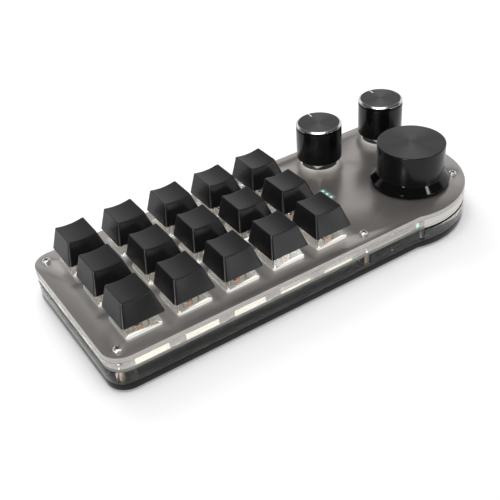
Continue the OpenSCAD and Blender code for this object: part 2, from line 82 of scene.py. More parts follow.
def separate_middles(node):
    """Middles of the separate solids that share a node."""
    mesh = NODES[node].data
    first = {}
    group = [first.setdefault(tuple(round(c, 6) for c in v.co), v.index) for v in mesh.vertices]

    def first_of(v):
        """The vertex that stands for the whole solid of vertex v."""
        while group[v] != v:
            group[v] = group[group[v]]
            v = group[v]
        return v

    for edge in mesh.edges:
        a, b = (first_of(v) for v in edge.vertices)
        group[a] = b
    solids = {}
    for v in mesh.vertices:
        solids.setdefault(first_of(v.index), []).append(v.co)
    boxes = [(np.min(points, 0), np.max(points, 0)) for points in solids.values()]
    return [tuple((low + high) / 2) for low, high in boxes]


def near(point, centres, reach):
    """Whether a point lies inside a square of the given half width round one of the centres."""
    return any(max(abs(point[0] - c[0]), abs(point[1] - c[1])) < reach for c in centres)


DECK_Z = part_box("top_plate")[1].z
KEY_SPOTS = [middle(f"stem_{key}") for key in KEYS]
KNOB_SPOTS = [middle(f"{knob}_shaft") for knob in KNOBS]


# Meshes


def new_object(name, data):
    """An object in the scene for a mesh, a camera or a lamp."""
    thing = bpy.data.objects.new(name, data)
    bpy.context.scene.collection.objects.link(thing)
    return thing


def make_piece(name, surface, body, materials, sharp=35):
    """A piece from a skin's points, faces and UV, smooth but for edges that turn by more than sharp
    degrees."""
    points, faces, uv = surface
    mesh = bpy.data.meshes.new(name)
    mesh.from_pydata(points.tolist(), [], faces)
    layer = mesh.uv_layers.new(name="UVMap")
    layer.data.foreach_set("uv", np.asarray(uv, np.float32).ravel())
    for material in materials:
        mesh.materials.append(material)
    mesh.polygons.foreach_set("use_smooth", np.ones(len(mesh.polygons), bool))
    mesh.set_sharp_from_angle(angle=math.radians(sharp))
    mesh.update()
    piece = new_object(name, mesh)
    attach(piece, body)
    return piece


def skin(rings, first_pole=None, last_pole=None, looped=False):
    """Faces over a grid of points.

    rings[i, j] is a point, i along the profile and j counter-clockwise round the piece, back to the start.
    A pole closes the first or the last ring with a fan. looped joins the last ring to the first.
    Returns the points, the faces, and a UV for each face corner: u round the piece, v along the profile.
    """
    count, around = rings.shape[:2]
    points = rings.reshape(-1, 3)
    i, j = np.mgrid[0 : count if looped else count - 1, 0:around]
    i, j = i.ravel(), j.ravel()
    nxt, up = (j + 1) % around, (i + 1) % count
    quads = np.stack([i * around + j, i * around + nxt, up * around + nxt, up * around + j], 1)
    u, v = j / around, i / (count - 1)
    du, dv = 1 / around, 1 / (count - 1)
    uv = np.stack([[u, v], [u + du, v], [u + du, v + dv], [u, v + dv]]).transpose(2, 0, 1)
    faces, corners = quads.tolist(), [uv.reshape(-1, 2)]
    j = np.arange(around)
    for pole, ring, v in ((first_pole, 0, 0.0), (last_pole, count - 1, 1.0)):
        if pole is None:
            continue
        a, b = (j, j + 1) if ring else (j + 1, j)
        tip = np.full(around, len(points))
        faces += np.stack([tip, ring * around + a % around, ring * around + b % around], 1).tolist()
        fan = [[across / around, np.full(around, v)] for across in (j + 0.5, a, b)]
        corners.append(np.stack(fan).transpose(2, 0, 1).reshape(-1, 2))
        points = np.vstack([points, np.reshape(pole, (1, 3))])
    return points, faces, np.vstack(corners)


def turned(centre, profile, around):
    """Rings of a turned piece: the profile's points (radius, height) carried round the upright axis at
    centre, x = radius cos a, y = radius sin a, z = height."""
    angle = np.linspace(0, 2 * math.pi, around, endpoint=False)
    r, z = profile[:, 0, None], profile[:, 1, None]
    flat = np.ones_like(angle)
    x, y, z = r * np.cos(angle) + centre[0], r * np.sin(angle) + centre[1], z * flat + centre[2]
    return np.stack([x, y, z], -1)


def rounded(points, radii, steps=5):
    """A profile with its corners rounded: each inner corner p becomes the quadratic curve
    (1 - t)^2 a + 2 t (1 - t) p + t^2 b, where a and b lie on its two sides at the given radius from it."""
    points = [np.array(p, float) for p in points]
    out = [points[0]]
    for k in range(1, len(points) - 1):
        radius, p = radii[k - 1], points[k]
        if radius == 0:
            out.append(p)
            continue
        a = p + (points[k - 1] - p) * radius / np.linalg.norm(points[k - 1] - p)
        b = p + (points[k + 1] - p) * radius / np.linalg.norm(points[k + 1] - p)
        for t in np.linspace(0, 1, steps):
            out.append((1 - t) ** 2 * a + 2 * t * (1 - t) * p + t**2 * b)
    return np.array(out + [points[-1]])


# Keycaps

CAP_BOTTOM = 18.1 * MM
CAP_TOP_WIDE = 12.7 * MM
CAP_TOP_DEEP = 13.8 * MM
CAP_TOP_BACK = 1.65 * MM
CAP_WALL = 1.3 * MM
CAP_ROOF = 1.5 * MM
DISH_RADIUS = 24 * MM
DISH_DEEP = DISH_RADIUS - math.sqrt(DISH_RADIUS**2 - (CAP_TOP_WIDE / 2) ** 2)
EDGE_RADIUS = 0.28 * MM
RIM_BREAK = 0.15 * MM
CORNER_LOW = 1.25 * MM
CORNER_HIGH = 0.8 * MM
CORNER_LEAST = 0.25 * MM
CORNER_STEPS = 9
SIDE_STEPS = 9
WALL_STEPS = 12
EDGE_STEPS = 7
TOP_STEPS = 9
ROOF_SHARES = (0.15, 0.5, 0.85)
SOCKET_RADIUS = 2.7 * MM
SOCKET_FROM = 0.75 * MM
SOCKET_TO = 6.9 * MM
SOCKET_STEPS = 96
CROSS_HALF_LONG = 2.05 * MM
CROSS_HALF_THIN = 0.65 * MM


def square_ring(half_x, half_y, radius):
    """Points round a rectangle with round corners, counter-clockwise: each corner is a quarter circle, and
    each side has evenly spaced points between two corners."""
    quarter = np.linspace(0, math.pi / 2, CORNER_STEPS)
    corners = []
    for k, (sx, sy) in enumerate(((1, 1), (-1, 1), (-1, -1), (1, -1))):
        angle = quarter + k * math.pi / 2
        x = sx * (half_x - radius) + radius * np.cos(angle)
        y = sy * (half_y - radius) + radius * np.sin(angle)
        corners.append(np.stack([x, y], -1))
    t = np.linspace(0, 1, SIDE_STEPS + 2)[1:-1, None]
    ring = []
    for k, corner in enumerate(corners):
        ring += [corner, corner[-1] * (1 - t) + corners[(k + 1) % 4][0] * t]
    return np.vstack(ring)


def dish(x, crown):
    """Height of the keycap's top: a cylinder that lies along y scoops it out from crown at its two long
    edges, crown - deep + radius - sqrt(radius^2 - x^2)."""
    return crown - DISH_DEEP + (DISH_RADIUS - np.sqrt(DISH_RADIUS**2 - x**2))


def cap_ring(t, inset, lift=0.0):
    """Ring of the cap's tapering wall: t runs from 0 at the bottom edge to 1 at the top, and inset draws it
    inwards."""
    half_x = (CAP_BOTTOM * (1 - t) + CAP_TOP_WIDE * t) / 2 - inset
    half_y = (CAP_BOTTOM * (1 - t) + CAP_TOP_DEEP * t) / 2 - inset
    radius = max(CORNER_LOW * (1 - t) + CORNER_HIGH * t - inset, CORNER_LEAST)
    ring = square_ring(half_x, half_y, radius)
    return np.column_stack([ring[:, 0], ring[:, 1] + CAP_TOP_BACK * t, np.full(len(ring), lift)])


def cap_top(crown, inset, drop):
    """Ring that lies on the dish, drawn in by inset and let down by drop."""
    ring = cap_ring(1, inset)
    ring[:, 2] = dish(ring[:, 0], crown) - drop
    return ring


def shrunk(ring, share):
    """A ring of the cap with its plan shrunk to a share of its size about the top's middle."""
    centre = np.array([0, CAP_TOP_BACK])
    out = ring.copy()
    out[:, :2] = centre + (ring[:, :2] - centre) * share
    return out


def keycap(key):
    """One keycap: the wall rises and tapers from a rounded square, rolls over the edge by a quarter circle,
    and the top runs in over the dish to its middle. The inside is the same wall and roof drawn in, joined
    along the rim. The rings run from the middle of the roof's underside out, down, up and in again."""
    node = f"keycap_{key}"
    crown = height(node)
    roof = crown - DISH_DEEP - CAP_ROOF
    inner_top = cap_ring(1, CAP_WALL, roof)
    rings = [shrunk(inner_top, share) for share in ROOF_SHARES]
    rings += [inner_top, cap_ring(0, CAP_WALL, RIM_BREAK)]
    rings += [cap_ring(0, CAP_WALL - RIM_BREAK), cap_ring(0, RIM_BREAK)]
    bottom, wall_top = cap_ring(0, 0, RIM_BREAK), cap_top(crown, 0, EDGE_RADIUS)
    rings += [bottom * (1 - t) + wall_top * t for t in np.linspace(0, 1, WALL_STEPS)]
    for angle in np.linspace(0, math.pi / 2, EDGE_STEPS)[1:]:
        inset, drop = (EDGE_RADIUS * (1 - part) for part in (math.cos(angle), math.sin(angle)))
        rings.append(cap_top(crown, inset, drop))
    edge = rings[-1]
    for share in np.linspace(1, 0, TOP_STEPS)[1:-1]:
        ring = shrunk(edge, share)
        ring[:, 2] = dish(ring[:, 0], crown)
        rings.append(ring)
    place = foot(node)
    first, last = place + [0, CAP_TOP_BACK, roof], place + [0, CAP_TOP_BACK, dish(0, crown)]
    surface = skin(np.stack(rings) + place, first, last)
    piece = make_piece(f"cap_{key}", surface, f"key_{key}", [CAP_PLASTIC], sharp=50)
    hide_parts(node)


def cap_socket(key):
    """The post under a keycap's roof: a tube whose bore is a cross.

    A cross is met once in every direction, so its outline is a radius for each angle a, the larger of its two
    bars' radii. The radius of the bar along x is the smaller of long / |cos a| and thin / |sin a|.
    """
    angle = np.linspace(0, 2 * math.pi, SOCKET_STEPS, endpoint=False)
    never_zero = 1e-9
    cos, sin = np.abs(np.cos(angle)) + never_zero, np.abs(np.sin(angle)) + never_zero
    bar_along_x = np.minimum(CROSS_HALF_LONG / cos, CROSS_HALF_THIN / sin)
    bar_along_y = np.minimum(CROSS_HALF_THIN / cos, CROSS_HALF_LONG / sin)
    bore = np.maximum(bar_along_x, bar_along_y)
    tube = np.full(SOCKET_STEPS, SOCKET_RADIUS)
    rings = []
    for radius, z in ((bore, SOCKET_TO), (bore, SOCKET_FROM), (tube, SOCKET_FROM), (tube, SOCKET_TO)):
        level = np.full(SOCKET_STEPS, z)
        rings.append(np.column_stack([radius * np.cos(angle), radius * np.sin(angle), level]))
    surface = skin(np.stack(rings) + foot(f"keycap_{key}"), looped=True)
    make_piece(f"socket_{key}", surface, f"key_{key}", [CAP_PLASTIC])


# Knobs

# Distance between close points of a profile, which keep the shading true beside a corner or a new material
STEP = 0.05 * MM
# Shares of a brushed face's radius at which it has a ring, on the way in to its middle
FACE_SHARES = (0.7, 0.4, 0.12, 0)

SMALL_RADIUS = 10.6 * MM
SMALL_FACE_RADIUS = 9.75 * MM
SMALL_BORE_RADIUS = 5 * MM
SMALL_BORE_DEEP = 6 * MM
CORE_RADIUS = 8.2 * MM
FOOT_BREAK = 0.4 * MM
CHAMFER_TALL = 0.6 * MM
GROOVE_DROP = 1.0 * MM
GROOVE_TALL = 0.5 * MM
GROOVE_DEEP = 0.3 * MM

POINTER_TURN = math.radians(83)
POINTER_WIDE = 0.55 * MM
POINTER_LONG = 3.1 * MM
POINTER_THICK = 0.2 * MM
POINTER_PROUD = 0.03 * MM
POINTER_FROM_EDGE = 0.15 * MM

BIG_RADIUS = 15.2 * MM
BIG_BORE_RADIUS = 10.2 * MM
BIG_BORE_DEEP = 1.4 * MM
BIG_EDGE = 0.35 * MM
SKIRT_RADIUS = 17.9 * MM
SKIRT_RIM = 1.2 * MM
FLARE_TALL = 2.6 * MM
FILLET = 0.45 * MM
# Degrees that the hollow arc has turned where the flare meets it
FILLET_FROM = 43


def knob_place(knob):
    """Foot of the knob's axis: x from its shaft, and y from the knob, because the flat on the shaft moves the
    middle of its box."""
    low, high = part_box(knob)
    return np.array([middle(f"{knob}_shaft").x, (low.y + high.y) / 2, low.z])


def turned_piece(name, place, sections, body, materials, around=160):
    """A turned solid. Each section is a stretch of its profile, (radius, height), with the number of its
    material. The profile starts and ends on the axis."""
    profile = np.vstack([points for points, number in sections])
    numbers = np.concatenate([np.full(len(points), number) for points, number in sections])
    first, last = (place + [0, 0, end[1]] for end in (profile[0], profile[-1]))
    surface = skin(turned(place, profile[1:-1], around), first, last)
    piece = make_piece(name, surface, body, materials)
    index = np.repeat(np.concatenate([numbers[2:-1], [numbers[1], numbers[-1]]]), around)
    piece.data.polygons.foreach_set("material_index", index.astype(np.int32))
    return piece


def small_knob(knob):
    """A small knob: a pale core in its underside, a straight turned side with a fine groove, then a polished
    chamfer round a flat brushed top."""
    place, tall = knob_place(knob), height(knob)
    r, face_r, bore_r = SMALL_RADIUS, SMALL_FACE_RADIUS, SMALL_BORE_RADIUS
    chamfer_z = tall - CHAMFER_TALL
    groove_top = chamfer_z - GROOVE_DROP
    groove_bottom, groove_r = groove_top - GROOVE_TALL, r - GROOVE_DEEP
    bore = [(0, SMALL_BORE_DEEP), (bore_r, SMALL_BORE_DEEP), (bore_r, 0)]
    # The pale core, whose glow is painted light
    core = [*bore, (bore_r + 2 * STEP, 0), (CORE_RADIUS, 0)]
    side = rounded(
        [
            (CORE_RADIUS + STEP, 0), (r - FOOT_BREAK, 0), (r, FOOT_BREAK),
            (r, groove_bottom), (groove_r, groove_bottom), (groove_r, groove_top), (r, groove_top),
            (r, chamfer_z - 2 * STEP),
        ],
        [0.2 * MM, 0.2 * MM, 0.15 * MM, 0, 0, 0.15 * MM],
    )
    chamfer = rounded(
        [(r, chamfer_z - STEP), (r, chamfer_z), (face_r, tall), (face_r - 2 * STEP, tall)], [STEP, 0.06 * MM],
    )
    face = [(face_r * share, tall) for share in (0.95, *FACE_SHARES)]
    piece = turned_piece(
        f"{knob}_turned", place, [(core, 3), (side, 0), (chamfer, 1), (face, 2)], f"{knob}_turn",
        [KNOB_SIDE, KNOB_CHAMFER, KNOB_FACE, KNOB_CORE],
    )
    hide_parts(knob)
    pointer(knob, place, tall)


def pointer(knob, place, tall):
    """White paint in the pointer groove: a bar with round ends, laid along a radius of the knob's top."""
    angle = np.linspace(-math.pi / 2, math.pi / 2, 9)
    half, run = POINTER_WIDE / 2, (POINTER_LONG - POINTER_WIDE) / 2
    end = np.stack([run + half * np.cos(angle), half * np.sin(angle)], -1)
    out = SMALL_FACE_RADIUS - POINTER_LONG / 2 - POINTER_FROM_EDGE
    cos, sin = math.cos(POINTER_TURN), math.sin(POINTER_TURN)
    turn = np.array([[cos, -sin], [sin, cos]])
    flat = (np.vstack([end, -end]) + [out, 0]) @ turn.T + place[:2]
    centre = np.array([out, 0]) @ turn.T + place[:2]
    top = place[2] + tall + POINTER_PROUD
    levels = (top - POINTER_THICK, top)
    rings = [np.column_stack([flat, np.full(len(flat), z)]) for z in levels]
    first, last = ([*centre, z] for z in levels)
    surface = skin(np.stack(rings), first, last)
    make_piece(f"{knob}_pointer", surface, f"{knob}_turn", [POINTER_PAINT])


def big_knob():
    """The big knob: a skirt with a low upright rim, a straight flare up to the body, and a brushed top.

    A hollow arc joins the flare to the body. With c = 1 - sin and s = 1 - cos of a swept angle, its radius is
    body + fillet c and it rises by fillet s.
    """
    tall, body_foot = height("big_knob"), SKIRT_RIM + FLARE_TALL
    sweep = np.radians(np.linspace(FILLET_FROM, 90, 9))
    out, rise = FILLET * (1 - np.sin(sweep)), FILLET * (1 - np.cos(sweep))
    hollow = np.column_stack([BIG_RADIUS + out, body_foot + rise])
    skirt = rounded(
        [
            (0, BIG_BORE_DEEP), (BIG_BORE_RADIUS, BIG_BORE_DEEP), (BIG_BORE_RADIUS, 0),
            (SKIRT_RADIUS, 0), (SKIRT_RADIUS, SKIRT_RIM), hollow[0],
        ],
        [0, 0.3 * MM, 0.1 * MM, 0.1 * MM],
    )
    # Two points near the flare's ends keep its shading apart from the rim's and the hollow's
    slope = [skirt[-2] * (1 - s) + skirt[-1] * s for s in (0.04, 0.96)]
    body = rounded(
        [(BIG_RADIUS, body_foot + 2 * FILLET), (BIG_RADIUS, tall), (BIG_RADIUS * 0.975, tall)], [BIG_EDGE],
        steps=7,
    )
    face = [(BIG_RADIUS * share, tall) for share in (0.97, *FACE_SHARES)]
    sections = [(skirt[:-1], 0), (slope, 0), (hollow, 0), (body, 1), (face, 2)]
    piece = turned_piece(
        "big_knob_turned", knob_place("big_knob"), sections, "big_knob_turn",
        [SKIRT_GLOSS, KNOB_SIDE, KNOB_FACE], around=192,
    )
    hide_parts("big_knob")


# Sheets of the case

SAME_HEIGHT = 1e-6


def lies_level(face):
    """Whether a face lies level, as the top and the underside of a sheet do and its cut edges don't."""
    return abs(face.normal.z) > 0.999


def break_edge(work, z, size, inward):
    """Rolls the rim of the level face at height z over a quarter circle.

    The walls stop short of the face by size. At each rim point the face is drawn in by the same size along
    both its walls: by size (n1 + n2) / (1 + n1 . n2), with n1 and n2 the walls' normals.
    """
    level = [f for f in work.faces if lies_level(f) and abs(f.verts[0].co.z - z) < SAME_HEIGHT]
    bmesh.ops.delete(work, geom=level, context="FACES")
    rim = [e for e in work.edges if e.is_boundary and all(abs(v.co.z - z) < SAME_HEIGHT for v in e.verts)]
    normals = {}
    for edge in rim:
        wall = edge.link_faces[0].normal.copy()
        wall.z = 0
        for v in edge.verts:
            normals.setdefault(v, []).append(wall.normalized())
    rows = {}
    for v, (first, second) in normals.items():
        draw = -(first + second) / (1 + first.dot(second)) * size
        rows[v] = [v]
        for angle in (math.pi / 4, math.pi / 2):
            drop = size * (1 - math.sin(angle)) * inward
            rows[v].append(work.verts.new(v.co + draw * (1 - math.cos(angle)) + Vector((0, 0, drop))))
    for v in normals:
        v.co.z += size * inward
    for edge in rim:
        a, b = (rows[v] for v in edge.verts)
        for low, high in ((0, 1), (1, 2)):
            work.faces.new((a[low], b[low], b[high], a[high]))
    edges = [work.edges.get((rows[e.verts[0]][2], rows[e.verts[1]][2])) for e in rim]
    bmesh.ops.triangle_fill(work, use_beauty=True, use_dissolve=False, edges=edges)


def cut_sheet(node, name, materials, size, clear=0.0, holes=None):
    """The node's own sheet with its upper and lower edges broken by size, drawn in by clear at its top and
    bottom.

    The cut edges, the top and the underside take the first, second and third material, or the last one that
    there is. holes is (centres, reach): within reach of a centre, walls across y take the fourth material and
    walls across x the fifth.
    """
    mesh = NODES[node].data.copy()
    mesh.materials.clear()
    for material in materials:
        mesh.materials.append(material)
    work = bmesh.new()
    work.from_mesh(mesh)
    bmesh.ops.remove_doubles(work, verts=work.verts, dist=0.002 * MM)
    bmesh.ops.dissolve_limit(work, angle_limit=math.radians(0.5), verts=work.verts, edges=work.edges)
    low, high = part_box(node)
    for v in work.verts:
        if abs(v.co.z - high.z) < SAME_HEIGHT:
            v.co.z = high.z - clear
        elif abs(v.co.z - low.z) < SAME_HEIGHT:
            v.co.z = low.z + clear
    break_edge(work, high.z - clear, size, -1)
    break_edge(work, low.z + clear, size, 1)
    bmesh.ops.recalc_face_normals(work, faces=work.faces)
    for f in work.faces:
        level = lies_level(f)
        f.smooth = not level
        number = 0 if not level else 1 if f.normal.z > 0 else 2
        if holes and not level and near(f.calc_center_median(), *holes):
            number = 3 if abs(f.normal.y) > abs(f.normal.x) else 4
        f.material_index = min(len(materials) - 1, number)
    work.to_mesh(mesh)
    work.free()
    mesh.set_sharp_from_angle(angle=math.radians(50))
    piece = new_object(name, mesh)
    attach(piece, "case")
    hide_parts(node)
    return piece


# Springs

SPRING_TURNS = 9
SPRING_RADIUS = 1.95 * MM
SPRING_WIRE = 0.15 * MM
STEPS_A_TURN = 20


def spring(key):
    """A switch's return spring, which shortens with its key: a round wire carried along a helix.

    At t from 0 to 1 the helix has turned by 2 pi turns t and risen by a share t of its height. The ring of
    the wire there is path + wire (cos b out - sin b side), with out level and side square to the path.
    """
    low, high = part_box("switch_springs")
    centre = middle(f"stem_{key}")
    t = np.linspace(0, 1, SPRING_TURNS * STEPS_A_TURN + 1)
    turn = 2 * math.pi * SPRING_TURNS * t
    z = low.z + SPRING_WIRE + (high.z - low.z - 2 * SPRING_WIRE) * t
    path = np.stack([centre.x + SPRING_RADIUS * np.cos(turn), centre.y + SPRING_RADIUS * np.sin(turn), z], -1)
    along = np.gradient(path, axis=0)
    along /= np.linalg.norm(along, axis=1, keepdims=True)
    out = np.stack([np.cos(turn), np.sin(turn), np.zeros_like(turn)], -1)
    side = np.cross(along, out)
    angle = np.linspace(0, 2 * math.pi, 6, endpoint=False)[None, :, None]
    rings = path[:, None] + SPRING_WIRE * (np.cos(angle) * out[:, None] - np.sin(angle) * side[:, None])
    surface = skin(rings, path[0], path[-1])
    piece = make_piece(f"spring_{key}", surface, "case", [SPRING_STEEL], sharp=60)
    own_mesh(piece)
    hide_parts("switch_springs")


# Shader nodes


def new_material(name):
    """A material, its node tree and its shader."""
    material = bpy.data.materials.new(name)
    material.use_nodes = True
    return material, material.node_tree, material.node_tree.nodes["Principled BSDF"]


def add_node(tree, kind, **settings):
    """A node of the given kind with its own settings."""
    node = tree.nodes.new(kind)
    for key, value in settings.items():
        setattr(node, key, value)
    return node


def feed(tree, node, values):
    """Gives a node's inputs, by name or number, their values: a socket's result, or a plain number, vector or
    colour."""
    for name, value in values.items():
        if isinstance(value, bpy.types.NodeSocket):
            tree.links.new(value, node.inputs[name])
        else:
            node.inputs[name].default_value = value


def maths(tree, kind, *values):
    """The result of a Math node on sockets or plain numbers."""
    node = add_node(tree, "ShaderNodeMath", operation=kind)
    feed(tree, node, dict(enumerate(values)))
    return node.outputs[0]


def ramp_between(tree, factor, low, high):
    """A value that runs from low to high as factor runs from 0 to 1."""
    node = add_node(tree, "ShaderNodeMapRange")
    feed(tree, node, {"Value": factor, "To Min": low, "To Max": high})
    return node.outputs["Result"]


def ease_between(tree, value, start, stop, low, high):
    """A value that eases from low to high as the given one runs from start to stop."""
    node = add_node(tree, "ShaderNodeMapRange", interpolation_type="SMOOTHSTEP")
    feed(tree, node, {"Value": value, "From Min": start, "From Max": stop, "To Min": low, "To Max": high})
    return node.outputs["Result"]


def colour_between(tree, factor, low, high):
    """A colour that runs from low to high as factor runs from 0 to 1."""
    node = add_node(tree, "ShaderNodeMix", data_type="RGBA")
    feed(tree, node, {"Factor": factor, "A": (*low, 1), "B": (*high, 1)})
    return node.outputs["Result"]


def mix_shaders(tree, factor, first, second):
    """The first shader where factor is 0 and the second where it is 1."""
    node = add_node(tree, "ShaderNodeMixShader")
    feed(tree, node, {0: factor, 1: first.outputs[0], 2: second.outputs[0]})
    return node.outputs[0]


def object_place(tree):
    """Where a point lies in its object, which for every piece is its place in the keypad."""
    return add_node(tree, "ShaderNodeTexCoord").outputs["Object"]


def new_group(name, vectors, numbers, results):
    """An empty shader node group with its two end nodes. numbers gives each plain input its first value."""
    tree = bpy.data.node_groups.new(name, "ShaderNodeTree")
    for label in vectors:
        tree.interface.new_socket(label, in_out="INPUT", socket_type="NodeSocketVector")
    for label, value in numbers.items():
        socket = tree.interface.new_socket(label, in_out="INPUT", socket_type="NodeSocketFloat")
        socket.default_value = value
    for label in results:
        tree.interface.new_socket(label, in_out="OUTPUT", socket_type="NodeSocketFloat")
    return tree, add_node(tree, "NodeGroupInput").outputs, add_node(tree, "NodeGroupOutput").inputs


def place_group(tree, group, **values):
    """A group node in a tree, fed with sockets or plain values. Returns its results."""
    node = add_node(tree, "ShaderNodeGroup", node_tree=group)
    feed(tree, node, values)
    return node.outputs


def grain_group():
    """Fine moulded grain: two sizes of noise over the piece, as a height and as a value from 0 to 1."""
    tree, given, result = new_group(
        "moulded_grain", ["Vector"], {"Fine": 4000.0, "Broad": 160.0}, ["Height", "Mottle"],
    )
    for scale, out in (("Fine", "Height"), ("Broad", "Mottle")):
        noise = add_node(tree, "ShaderNodeTexNoise")
        feed(tree, noise, {"Vector": given["Vector"], "Scale": given[scale], "Detail": 3})
        tree.links.new(noise.outputs["Fac"], result[out])
    return tree


def brushing_group():
    """Circular brushing on a turned face: noise stretched along u, the turn, and crowded along v, the
    radius."""
    tree, given, result = new_group("circular_brushing", ["UV"], {"Arcs": 6.0, "Lines": 900.0}, ["Height"])
    split = add_node(tree, "ShaderNodeSeparateXYZ")
    feed(tree, split, {0: given["UV"]})
    join = add_node(tree, "ShaderNodeCombineXYZ")
    for axis, name in (("X", "Arcs"), ("Y", "Lines")):
        feed(tree, join, {axis: maths(tree, "MULTIPLY", split.outputs[axis], given[name])})
    noise = add_node(tree, "ShaderNodeTexNoise")
    feed(tree, noise, {"Vector": join.outputs[0], "Scale": 1, "Detail": 2})
    tree.links.new(noise.outputs["Fac"], result["Height"])
    return tree


def painted_patch_group():
    """A round patch of painted light, bright in its middle and gone at its reach, over a lamp under the plate
    or round a knob's hole.
    """
    numbers = {"Reach": 1.5 * MM, "Power": 1.0}
    tree, given, result = new_group("painted_patch", ["Vector", "Place"], numbers, ["Glow"])
    away = add_node(tree, "ShaderNodeVectorMath", operation="DISTANCE")
    feed(tree, away, {0: given["Vector"], 1: given["Place"]})
    glow = ease_between(tree, away.outputs["Value"], 0, given["Reach"], given["Power"], 0)
    tree.links.new(glow, result["Glow"])
    return tree


def painted_switch_light_group():
    """Painted light round a grid of square switches on the plate: 1 at a switch's rim and 0 at its reach.

    Along x and y the nearest switch is number i = clamp(round((p - first) / pitch), 0, last). The distance
    from it is the larger of |p - first - i pitch| along both.
    """
    vectors = ["Vector", "First", "Pitch", "Last"]
    tree, given, result = new_group("painted_switch_light", vectors, {"Rim": 0.0, "Reach": 0.0}, ["Glow"])
    split = []
    for name in vectors:
        node = add_node(tree, "ShaderNodeSeparateXYZ")
        feed(tree, node, {0: given[name]})
        split.append(node.outputs)
    away = []
    for axis in ("X", "Y"):
        place, first, pitch, last = (outputs[axis] for outputs in split)
        along = maths(tree, "SUBTRACT", place, first)
        number = maths(tree, "ROUND", maths(tree, "DIVIDE", along, pitch))
        number = maths(tree, "MAXIMUM", maths(tree, "MINIMUM", number, last), 0)
        past = maths(tree, "SUBTRACT", along, maths(tree, "MULTIPLY", number, pitch))
        away.append(maths(tree, "ABSOLUTE", past))
    glow = ease_between(tree, maths(tree, "MAXIMUM", *away), given["Rim"], given["Reach"], 1, 0)
    tree.links.new(glow, result["Glow"])
    return tree


GRAIN = grain_group()
BRUSHING = brushing_group()
PAINTED_PATCH = painted_patch_group()
PAINTED_SWITCH_LIGHT = painted_switch_light_group()


# Kinds of material


def add_bump(tree, shader, height_socket, strength, depth):
    """Small heights in the surface, depth mm deep."""
    bump = add_node(tree, "ShaderNodeBump")
    feed(tree, bump, {"Strength": strength, "Distance": depth * MM, "Height": height_socket})
    tree.links.new(bump.outputs["Normal"], shader.inputs["Normal"])


def wander(tree, shader, factor, low, high):
    """A roughness that wanders between low and high with factor."""
    tree.links.new(ramp_between(tree, factor, low, high), shader.inputs["Roughness"])


def tint(tree, shader, factor, dark, light):
    """A base colour that wanders between dark and light with factor."""
    tree.links.new(colour_between(tree, factor, dark, light), shader.inputs["Base Color"])


def moulded(name, dark, light, rough, fine=4000.0, depth=0.02, specular=0.5):
    """Moulded plastic: a mottled colour, a roughness that wanders a little, and a fine grain in the
    surface."""
    material, tree, shader = new_material(name)
    grain = place_group(tree, GRAIN, Vector=object_place(tree), Fine=fine)
    tint(tree, shader, grain["Mottle"], dark, light)
    wander(tree, shader, grain["Mottle"], rough - 0.04, rough + 0.04)
    shader.inputs["Specular IOR Level"].default_value = specular
    add_bump(tree, shader, grain["Height"], 0.35, depth)
    return material


def metal(name, dark, light, rough):
    """Plated or turned metal with faint streaks in its colour and roughness."""
    material, tree, shader = new_material(name)
    grain = place_group(tree, GRAIN, Vector=object_place(tree), Fine=2500.0, Broad=500.0)
    tint(tree, shader, grain["Mottle"], dark, light)
    wander(tree, shader, grain["Mottle"], rough - 0.05, rough + 0.05)
    shader.inputs["Metallic"].default_value = 1
    add_bump(tree, shader, grain["Height"], 0.3, 0.004)
    return material


def brushed_face(name, dark, light, rough, lines, depth):
    """Anodised metal brushed in circles, after the turned piece's own UV."""
    material, tree, shader = new_material(name)
    where = add_node(tree, "ShaderNodeTexCoord")
    brushing = place_group(tree, BRUSHING, UV=where.outputs["UV"], Lines=lines)
    tint(tree, shader, brushing["Height"], dark, light)
    wander(tree, shader, brushing["Height"], rough - 0.06, rough + 0.06)
    shader.inputs["Metallic"].default_value = 1
    shader.inputs["Anisotropic"].default_value = 0.75
    tangent = add_node(tree, "ShaderNodeTangent", direction_type="UV_MAP", uv_map="UVMap")
    tree.links.new(tangent.outputs[0], shader.inputs["Tangent"])
    add_bump(tree, shader, brushing["Height"], 0.3, depth)
    return material


def let_lamps_through(tree, shader, colour):
    """Rays from the lamps pass straight through, tinted, so that what lies inside is lit."""
    path = add_node(tree, "ShaderNodeLightPath")
    through = add_node(tree, "ShaderNodeBsdfTransparent")
    through.inputs["Color"].default_value = (*colour, 1)
    mix = mix_shaders(tree, path.outputs["Is Shadow Ray"], shader, through)
    tree.links.new(mix, tree.nodes["Material Output"].inputs["Surface"])


def clear_plastic(name, colour, rough, ior=1.49):
    """Clear or smoked plastic that light passes through, with a faint haze that wanders."""
    material, tree, shader = new_material(name)
    shader.inputs["Base Color"].default_value = (*colour, 1)
    shader.inputs["Transmission Weight"].default_value = 1
    shader.inputs["IOR"].default_value = ior
    grain = place_group(tree, GRAIN, Vector=object_place(tree), Fine=900.0, Broad=60.0)
    wander(tree, shader, grain["Mottle"], rough, rough + 0.05)
    let_lamps_through(tree, shader, colour)
    return material


def frosted(name, dark, light, rough, ior, through):
    """Frosted tinted acrylic: a dark body under a face that mirrors what stands on it, blurred."""
    material = moulded(name, dark, light, rough, fine=6000.0, depth=0.0003)
    tree = material.node_tree
    shader = tree.nodes["Principled BSDF"]
    shader.inputs["IOR"].default_value = ior
    shader.inputs["Specular Tint"].default_value = (1, 0.94, 0.9, 1)
    let_lamps_through(tree, shader, through)
    return material


def glowing(name, dark, light, rough, colour, glow):
    """Clear or milky plastic with an even glow. On the lamps' lenses the glow is their own light; on every
    other piece it is painted light, standing in for light that reaches the piece through the sheets.
    """
    material = moulded(name, dark, light, rough, depth=0.001)
    shader = material.node_tree.nodes["Principled BSDF"]
    shader.inputs["Emission Color"].default_value = (*colour, 1)
    shader.inputs["Emission Strength"].default_value = glow
    return material
